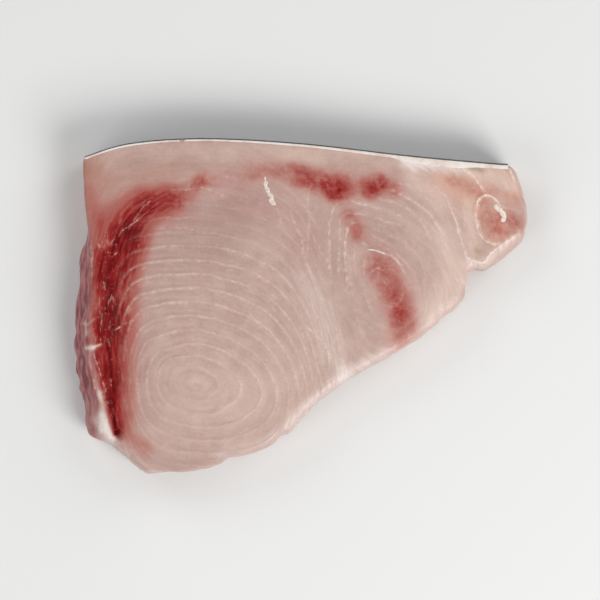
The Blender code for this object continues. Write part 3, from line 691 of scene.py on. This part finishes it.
def streaks(tree, across, fineness, length):
    """Noise drawn out along lines on which a value stays the same."""
    places = add_node(tree, "ShaderNodeTexCoord").outputs["Object"]
    place = add_node(tree, "ShaderNodeSeparateXYZ", {0: places})
    parts = {
        "X": maths(tree, "MULTIPLY", across, fineness),
        "Y": maths(tree, "MULTIPLY", place.outputs["X"], 1 / (length * MM)),
        "Z": maths(tree, "MULTIPLY", place.outputs["Y"], 1 / (length * MM)),
    }
    where = add_node(tree, "ShaderNodeCombineXYZ", parts).outputs[0]
    inputs = {"Vector": where, "Scale": 1.0, "Detail": 2.0, "Roughness": 0.5}
    return add_node(tree, "ShaderNodeTexNoise", inputs).outputs["Fac"]


great_number, lesser_number = kept(tree, "great"), kept(tree, "lesser")
great_line = septum_line(tree, great_number, kept(tree, "great_density"), kept(tree, "great_shows"))
double = septum_line(tree, maths(tree, "ADD", great_number, 0.26), kept(tree, "great_density"), kept(tree, "great_shows"))
lesser_line = septum_line(tree, lesser_number, kept(tree, "lesser_density"), kept(tree, "lesser_shows"))
patchy = share(tree, speckle(tree, 1.8, 3.0), 0.32, 0.7, 0.3, 1.0)
regional = share(tree, speckle(tree, 8.0, 2.0), 0.34, 0.64, 0.45, 1.0)
second = share(tree, speckle(tree, 5.0, 2.0), 0.5, 0.68, 0.0, 0.6)
septa = maths(tree, "MAXIMUM", maths(tree, "MAXIMUM", great_line, lesser_line), maths(tree, "MULTIPLY", double, second))
septa = maths(tree, "MULTIPLY", maths(tree, "MULTIPLY", septa, patchy), regional)
dark_line = maths(tree, "MULTIPLY", fascia_line(tree, "dark", 0.42), 0.75)
fascia = maths(tree, "MAXIMUM", maths(tree, "MAXIMUM", fascia_line(tree, "fan", 0.85), fascia_line(tree, "tip", 0.9)), dark_line)
fascia = maths(tree, "MULTIPLY", fascia, share(tree, speckle(tree, 2.2, 4.0), 0.34, 0.66, 0.15, 1.0))
# In the dark band, pale strands: partly fascia, partly painted wet highlights.
streaky = streaks(tree, kept(tree, "flaky"), 1.0, 5.0)
fleck_and_highlight = share(tree, speckle(tree, 1.7, 3.0), 0.6, 0.72, 0.0, 0.6)
strand_and_highlight = maths(tree, "MAXIMUM", share(tree, streaky, 0.57, 0.7, 0.0, 0.6), maths(tree, "MULTIPLY", fleck_and_highlight, 0.7))
fleck_and_highlight = add_node(tree, "ShaderNodeMix", {0: kept(tree, "streaked"), 2: fleck_and_highlight, 3: strand_and_highlight}, data_type="FLOAT").outputs[0]
fleck_and_highlight = maths(tree, "MULTIPLY", fleck_and_highlight, kept(tree, "flecks_and_highlights"))
lines = maths(tree, "MAXIMUM", maths(tree, "MAXIMUM", septa, fascia), fleck_and_highlight)

on_great = maths(tree, "GREATER_THAN", kept(tree, "meeting"), 0.0)
number = add_node(tree, "ShaderNodeMix", {0: on_great, 2: lesser_number, 3: great_number}, data_type="FLOAT").outputs[0]
fibres = streaks(tree, number, 3.2, 9.0)
band_fibres = streaks(tree, kept(tree, "flaky"), 0.75, 7.0)
# Painted shade on the flakes of the great whorl: lighter just outside each septum and darker towards the next one, as
# the steps of the relief would be lit.
painted_flake_shade = maths(tree, "SUBTRACT", 0.5, maths(tree, "FRACT", great_number))
painted_flake_shade = maths(tree, "MULTIPLY", maths(tree, "MULTIPLY", painted_flake_shade, kept(tree, "great_shows")), on_great)

base = blend(tree, share(tree, blotches, 0.3, 0.7, 0.0, 0.45), daylight(*FLESH), daylight(*RAW_FLESH))
# Rawer flesh, with painted shade along the bottom edge, in the raw flesh colour.
base = blend(tree, kept(tree, "raw_flesh_and_edge_shade"), base, daylight(*RAW_FLESH))
base = blend(tree, kept(tree, "warm"), base, daylight(*WARM_FLESH))
base = blend(tree, kept(tree, "mauve"), base, daylight(*MAUVE_FLESH))
base = blend(tree, kept(tree, "tan"), base, daylight(*TAN_FLESH))
base = blend(tree, kept(tree, "light"), base, daylight(*LIGHT_FLESH))
mottled = share(tree, speckle(tree, 2.4, 4.0), 0.34, 0.6, 0.6, 1.0)
base = blend(tree, maths(tree, "MULTIPLY", kept(tree, "brown"), mottled), base, daylight(*BROWN_MEAT))
base = blend(tree, maths(tree, "MULTIPLY", kept(tree, "pale"), share(tree, fibres, 0.3, 0.65, 0.7, 1.0)), base, daylight(*PALE_FLESH))
darkness = kept(tree, "dark")
along_band = kept(tree, "streaked")
uneven = add_node(tree, "ShaderNodeMix", {0: along_band, 2: speckle(tree, 2.0, 3.0), 3: band_fibres}, data_type="FLOAT")
uneven = uneven.outputs[0]
uneven = share(tree, uneven, 0.3, 0.7, -0.19, 0.13)
broken = share(tree, speckle(tree, 4.6, 4.0), 0.32, 0.66, -0.15, 0.07)
broken = maths(tree, "MULTIPLY", broken, maths(tree, "SUBTRACT", 1.0, kept(tree, "streaked")))
broken = maths(tree, "MULTIPLY", broken, share(tree, darkness, 0.05, 0.5))
uneven = maths(tree, "MULTIPLY", uneven, share(tree, darkness, 0.25, 0.75))
darkness = maths(tree, "ADD", darkness, maths(tree, "ADD", uneven, broken))
stops = add_node(tree, "ShaderNodeValToRGB", {"Fac": darkness})
stops.color_ramp.elements[0].position = DARK_STOPS[0][0]
stops.color_ramp.elements[0].color = daylight(*DARK_STOPS[0][1])
stops.color_ramp.elements[1].position = DARK_STOPS[-1][0]
stops.color_ramp.elements[1].color = daylight(*DARK_STOPS[-1][1])
for position, tone in DARK_STOPS[1:-1]:
    stops.color_ramp.elements.new(position).color = daylight(*tone)
base = blend(tree, share(tree, darkness, 0.0, 0.3), base, stops.outputs["Color"])
drawn_out = add_node(tree, "ShaderNodeTexCoord").outputs["Object"]
drawn_out = add_node(tree, "ShaderNodeVectorMath", {0: drawn_out, 1: TORN_STRANDS}, operation="MULTIPLY").outputs[0]
torn_strands = share(tree, speckle(tree, 1.8, 4.0, drawn_out), 0.36, 0.66)
torn_meat = blend(tree, torn_strands, daylight(*TORN_MEAT), daylight(*TORN_MEAT_LIGHT))
base = blend(tree, maths(tree, "MULTIPLY", kept(tree, "torn"), 0.85), base, torn_meat)
base = blend(tree, kept(tree, "olive"), base, daylight(*OLIVE_TISSUE))
# Septa, fascia, flecks and the band's pale strands, part of which are painted wet highlights, in the septum colour.
base = blend(tree, maths(tree, "MULTIPLY", lines, 0.7), base, daylight(*SEPTUM))
sheath = maths(tree, "MULTIPLY", fascia_line(tree, "sheath", 0.8), share(tree, grain_value, 0.3, 0.6, 0.7, 1.0))
base = blend(tree, sheath, base, daylight(*SHEATH_WHITE))
# The fine grain and fibres vary the tone, and the painted shade of each flake is added on top.
fine = maths(tree, "ADD", share(tree, grain_value, 0.2, 0.8, 0.95, 1.04), share(tree, fibres, 0.25, 0.75, -0.045, 0.05))
fine = maths(tree, "ADD", fine, maths(tree, "MULTIPLY", painted_flake_shade, 0.11))
tinted = add_node(tree, "ShaderNodeVectorMath", {0: base}, operation="SCALE")
tree.links.new(fine, tinted.inputs["Scale"])
tree.links.new(tinted.outputs[0], shader.inputs["Base Color"])
tree.links.new(share(tree, moist, 0.3, 0.7, 0.26, 0.4), shader.inputs["Roughness"])
shader.inputs["Specular IOR Level"].default_value = 0.2
height = maths(tree, "ADD", maths(tree, "MULTIPLY", lines, 0.5), maths(tree, "MULTIPLY", grain_value, 0.8))
bump = add_node(tree, "ShaderNodeBump", {"Height": height, "Strength": 0.35, "Distance": 0.0004})
tree.links.new(bump.outputs["Normal"], shader.inputs["Normal"])
shader.inputs["Subsurface Weight"].default_value = 0.2
shader.inputs["Subsurface Radius"].default_value = (1.0, 0.45, 0.3)
shader.inputs["Subsurface Scale"].default_value = 0.0015
shader.inputs["Coat Weight"].default_value = 0.05
shader.inputs["Coat Roughness"].default_value = 0.25
flesh.data.materials.clear()
flesh.data.materials.append(flesh_material)
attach(flesh, "root")
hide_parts("steak")

# Skin and dermis. The skin is a thin tough sheet, slate grey outside, along the fish's back. Under
# it the dermis is a firm white layer, which thickens into fascia near the tip. Both are grown on.
SKIN_COLOUR = (58, 60, 68)
SKIN_COLOUR_WORN = (92, 92, 98)
DERMIS_COLOUR = (236, 226, 218)
SKIN_COLUMN = 0.8
SKIN_ROWS = 16
SKIN_THICKNESS = 0.5
DERMIS_THICKNESS = [
    (-88.0, 0.8), (-40.0, 0.7), (0.0, 0.9), (36.0, 1.2), (42.0, 2.4), (50.0, 2.8), (62.0, 2.8), (70.0, 1.8), (82.0, 1.5),
]
WALL_SEARCH_FROM = 12.0
RIM_SEARCH_IN = 1.2
NOTCH_PLACE = -48.4
NOTCH_HALF_WIDTH = 0.9
NOTCH_DEPTH = 1.5

solid = bmesh.new()
solid.from_mesh(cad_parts["steak"].data)
bmesh.ops.remove_doubles(solid, verts=solid.verts, dist=0.001 * MM)
SOLID_SURFACE = BVHTree.FromBMesh(solid)
solid.free()


def hit(x, y, z, way):
    """Where a ray from a place, in millimetres from the slice's middle, meets the solid."""
    start = Vector(((x + SLICE_MIDDLE[0]) * MM, (y + SLICE_MIDDLE[1]) * MM, z * MM))
    return SOLID_SURFACE.ray_cast(start, Vector(way))[0]


def back_wall_layer(name, inset, thickness, top_lift):
    """A layer on the back wall: a grid laid along the wall, then given its thickness inwards."""
    line = curve_through(SKIN, SKIN_COLUMN)[1:]
    ways = np.gradient(line, axis=0)
    ways /= np.linalg.norm(ways, axis=1)[:, None]
    outwards = np.stack([-ways[:, 1], ways[:, 0]], axis=1)
    columns = len(line)
    layer = bmesh.new()
    bmesh.ops.create_grid(layer, x_segments=columns - 1, y_segments=SKIN_ROWS, size=0.5)
    moves = {}
    for vert in layer.verts:
        column = round((vert.co.x + 0.5) * (columns - 1))
        height = vert.co.y + 0.5
        out = outwards[column]
        place = line[column]
        rim = hit(*(place - RIM_SEARCH_IN * out), 2 * THICKNESS, (0, 0, -1))
        notch = max(0.0, 1 - abs(place[0] - NOTCH_PLACE) / NOTCH_HALF_WIDTH)
        top = rim.z / MM + top_lift - NOTCH_DEPTH * notch
        z = 0.15 + (top - 0.15) * height
        wall = hit(*(place + WALL_SEARCH_FROM * out), min(z, rim.z / MM - 0.4), (-out[0], -out[1], 0))
        sunk = inset + 0.6 * notch * height**6
        vert.co = Vector((wall.x - sunk * MM * out[0], wall.y - sunk * MM * out[1], z * MM))
        moves[tuple(vert.co)] = Vector((-out[0], -out[1], 0.0)) * thickness(place[0]) * MM
    outer = list(layer.faces)
    grown = bmesh.ops.extrude_face_region(layer, geom=outer, use_keep_orig=True)
    for item in grown["geom"]:
        if isinstance(item, bmesh.types.BMVert):
            item.co += moves[tuple(item.co)]
    bmesh.ops.recalc_face_normals(layer, faces=layer.faces)
    rims = [edge for edge in layer.edges if len(edge.link_faces) == 2 and edge.calc_face_angle() > 1.0]
    bmesh.ops.bevel(layer, geom=rims, offset=0.12 * MM, affect="EDGES", segments=2, profile=0.5, material=-1)
    mesh = bpy.data.meshes.new(name)
    layer.to_mesh(mesh)
    layer.free()
    for polygon in mesh.polygons:
        polygon.use_smooth = True
    return new_object(name, mesh)


dermis = back_wall_layer("dermis", SKIN_THICKNESS - 0.1, lambda x: float(np.interp(x, *zip(*DERMIS_THICKNESS))), 0.12)
skin = back_wall_layer("skin", 0.0, lambda x: SKIN_THICKNESS, 0.0)

dermis_material, tree, shader = new_material("white dermis")
texture = add_node(tree, "ShaderNodeGroup", node_tree=FISH_GRAIN)
tone = blend(tree, share(tree, texture.outputs["Blotches"], 0.35, 0.7), daylight(*DERMIS_COLOUR), daylight(222, 200, 188))
tree.links.new(tone, shader.inputs["Base Color"])
tree.links.new(share(tree, texture.outputs["Moist"], 0.3, 0.7, 0.25, 0.42), shader.inputs["Roughness"])
bump = add_node(tree, "ShaderNodeBump", {"Height": texture.outputs["Grain"], "Strength": 0.3, "Distance": 0.0004})
tree.links.new(bump.outputs["Normal"], shader.inputs["Normal"])
shader.inputs["Subsurface Weight"].default_value = 0.2
shader.inputs["Subsurface Radius"].default_value = (1.0, 0.6, 0.5)
shader.inputs["Subsurface Scale"].default_value = 0.001
dermis.data.materials.append(dermis_material)

skin_material, tree, shader = new_material("slate skin")
texture = add_node(tree, "ShaderNodeGroup", node_tree=FISH_GRAIN)
streaked = add_node(tree, "ShaderNodeTexCoord").outputs["Object"]
streaked = add_node(tree, "ShaderNodeVectorMath", {0: streaked, 1: (1.0, 1.0, 0.25)}, operation="MULTIPLY").outputs[0]
worn = share(tree, speckle(tree, 2.2, 4.0, streaked), 0.4, 0.72)
tone = blend(tree, worn, daylight(*SKIN_COLOUR), daylight(*SKIN_COLOUR_WORN))
tree.links.new(tone, shader.inputs["Base Color"])
tree.links.new(share(tree, texture.outputs["Moist"], 0.3, 0.7, 0.28, 0.45), shader.inputs["Roughness"])
bump = add_node(tree, "ShaderNodeBump", {"Height": speckle(tree, 0.7, 3.0), "Strength": 0.4, "Distance": 0.0003})
tree.links.new(bump.outputs["Normal"], shader.inputs["Normal"])
skin.data.materials.append(skin_material)
for piece in (dermis, skin):
    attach(piece, "root")

# Sinews. The brightest fascia stands a little proud of the cut: white gristly strands that the
# knife dragged up, lying in the flesh and torn off at their ends.
SINEW_COLOUR = (238, 224, 214)
SINEW_SIDES = 8
SINEW_STEP = 0.4
SINEW_SINK = 0.25
SINEWS = [
    ([(-15.4, 51.4), (-15.0, 49.0), (-14.6, 46.6), (-13.6, 45.0)], 1.9, 1.3),
    ([(-14.6, 47.6), (-13.4, 44.5), (-12.0, 40.9), (-11.4, 39.8)], 1.9, 1.3),
    ([(-13.6, 42.6), (-12.6, 40.8), (-10.6, 40.4)], 1.3, 1.2),
    ([(25.6, 22.0), (27.4, 22.1), (30.6, 21.4), (33.0, 20.2)], 0.6, 0.4),
    ([(76.6, 40.4), (77.8, 38.8), (79.4, 37.2), (80.4, 35.2), (79.4, 33.4)], 2.9, 0.35),
]
flesh_shape = bmesh.new()
flesh_shape.from_mesh(flesh.data)
FLESH_SURFACE = BVHTree.FromBMesh(flesh_shape)
flesh_shape.free()


def lay_sinew(strands, points, width, ruggedness, seed):
    """One strand: a grid wrapped round its path, flat and lumpy, sunk into the flesh, shut at its ends."""
    line = curve_through(points, SINEW_STEP)
    ways = np.gradient(line, axis=0)
    ways /= np.linalg.norm(ways, axis=1)[:, None]
    made = bmesh.ops.create_grid(strands, x_segments=len(line) - 1, y_segments=SINEW_SIDES, size=0.5)
    for vert in made["verts"]:
        step = round((vert.co.x + 0.5) * (len(line) - 1))
        turn = 2 * math.pi * round((vert.co.y + 0.5) * SINEW_SIDES) / SINEW_SIDES
        part = step / (len(line) - 1)
        taper = math.sqrt(max(0.0, 1 - (2 * part - 1) ** 6))
        rugged = 1 + ruggedness * noise.noise(Vector((step * 0.34, 0.8 * math.cos(turn), 0.8 * math.sin(turn) + seed)))
        half = 0.5 * width * taper * rugged
        across = half * math.cos(turn)
        x = line[step][0] - ways[step][1] * across
        y = line[step][1] + ways[step][0] * across
        start = Vector(((line[step][0] + SLICE_MIDDLE[0]) * MM, (line[step][1] + SLICE_MIDDLE[1]) * MM, 2 * THICKNESS * MM))
        surface = FLESH_SURFACE.ray_cast(start, Vector((0, 0, -1)))[0].z / MM
        z = surface + half * (0.45 * math.sin(turn) - SINEW_SINK)
        vert.co = Vector(((x + SLICE_MIDDLE[0]) * MM, (y + SLICE_MIDDLE[1]) * MM, z * MM))


strands = bmesh.new()
for seed, (points, width, ruggedness) in enumerate(SINEWS):
    lay_sinew(strands, points, width, ruggedness, seed)
bmesh.ops.remove_doubles(strands, verts=strands.verts, dist=0.004 * MM)
bmesh.ops.recalc_face_normals(strands, faces=strands.faces)
sinew_mesh = bpy.data.meshes.new("sinews")
strands.to_mesh(sinew_mesh)
strands.free()
for polygon in sinew_mesh.polygons:
    polygon.use_smooth = True
sinews = new_object("sinews", sinew_mesh)
sinew_material, tree, shader = new_material("white sinew")
texture = add_node(tree, "ShaderNodeGroup", node_tree=FISH_GRAIN)
tone = blend(tree, share(tree, speckle(tree, 1.1, 2.0), 0.38, 0.7), daylight(*SINEW_COLOUR), daylight(222, 196, 184))
tree.links.new(tone, shader.inputs["Base Color"])
tree.links.new(share(tree, texture.outputs["Moist"], 0.3, 0.7, 0.22, 0.4), shader.inputs["Roughness"])
bump = add_node(tree, "ShaderNodeBump", {"Height": texture.outputs["Grain"], "Strength": 0.3, "Distance": 0.0003})
tree.links.new(bump.outputs["Normal"], shader.inputs["Normal"])
shader.inputs["Subsurface Weight"].default_value = 0.2
shader.inputs["Subsurface Radius"].default_value = (1.0, 0.6, 0.5)
shader.inputs["Subsurface Scale"].default_value = 0.001
sinews.data.materials.append(sinew_material)
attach(sinews, "root")

# Floor, light and camera. A plain pale floor under soft studio light, seen from straight above.
FLOOR_SIZE = 4.0
FLOOR_COLOUR = (228, 228, 226)
floor_shape = bmesh.new()
bmesh.ops.create_grid(floor_shape, x_segments=1, y_segments=1, size=FLOOR_SIZE / 2)
floor_mesh = bpy.data.meshes.new("floor")
floor_shape.to_mesh(floor_mesh)
floor_shape.free()
floor = new_object("floor", floor_mesh)
floor_material, floor_tree, floor_shader = new_material("pale floor")
floor_shader.inputs["Base Color"].default_value = daylight(*FLOOR_COLOUR)
floor_shader.inputs["Roughness"].default_value = 0.8
floor.data.materials.append(floor_material)

# Each light: place in metres, size in metres, power in watts. They all face the steak.
LIGHTS = {
    "key": ((0.75, -0.75, 0.85), 0.7, 13.5),
    "left fill": ((-0.9, -0.6, 0.8), 0.8, 4.8),
    "back fill": ((-0.8, 0.8, 0.8), 0.8, 4.8),
    "right fill": ((0.9, 0.7, 0.8), 0.8, 4.8),
}
for name, (place, size, power) in LIGHTS.items():
    lamp = bpy.data.lights.new(name, "AREA")
    lamp.size = size
    lamp.energy = power
    light = bpy.data.objects.new(name, lamp)
    light.location = place
    light.rotation_euler = (-Vector(place)).to_track_quat("-Z", "Y").to_euler()
    bpy.context.scene.collection.objects.link(light)
world = bpy.data.worlds.new("studio")
bpy.context.scene.world = world
world.use_nodes = True
world.node_tree.nodes["Background"].inputs["Color"].default_value = daylight(240, 242, 246)
world.node_tree.nodes["Background"].inputs["Strength"].default_value = 0.25
bpy.context.scene.view_settings.view_transform = "Standard"

CAMERA_HEIGHT = 0.7
PICTURE_WIDTH = 0.24
PICTURE_MIDDLE = (-1.2, 2.0)
lens = bpy.data.cameras.new("camera")
lens.lens = lens.sensor_width * CAMERA_HEIGHT / PICTURE_WIDTH
camera = bpy.data.objects.new("camera", lens)
camera.location = (
    (PICTURE_MIDDLE[0] + SLICE_MIDDLE[0]) * MM, (PICTURE_MIDDLE[1] + SLICE_MIDDLE[1]) * MM, CAMERA_HEIGHT + THICKNESS * MM
)
bpy.context.scene.collection.objects.link(camera)
bpy.context.scene.camera = camera
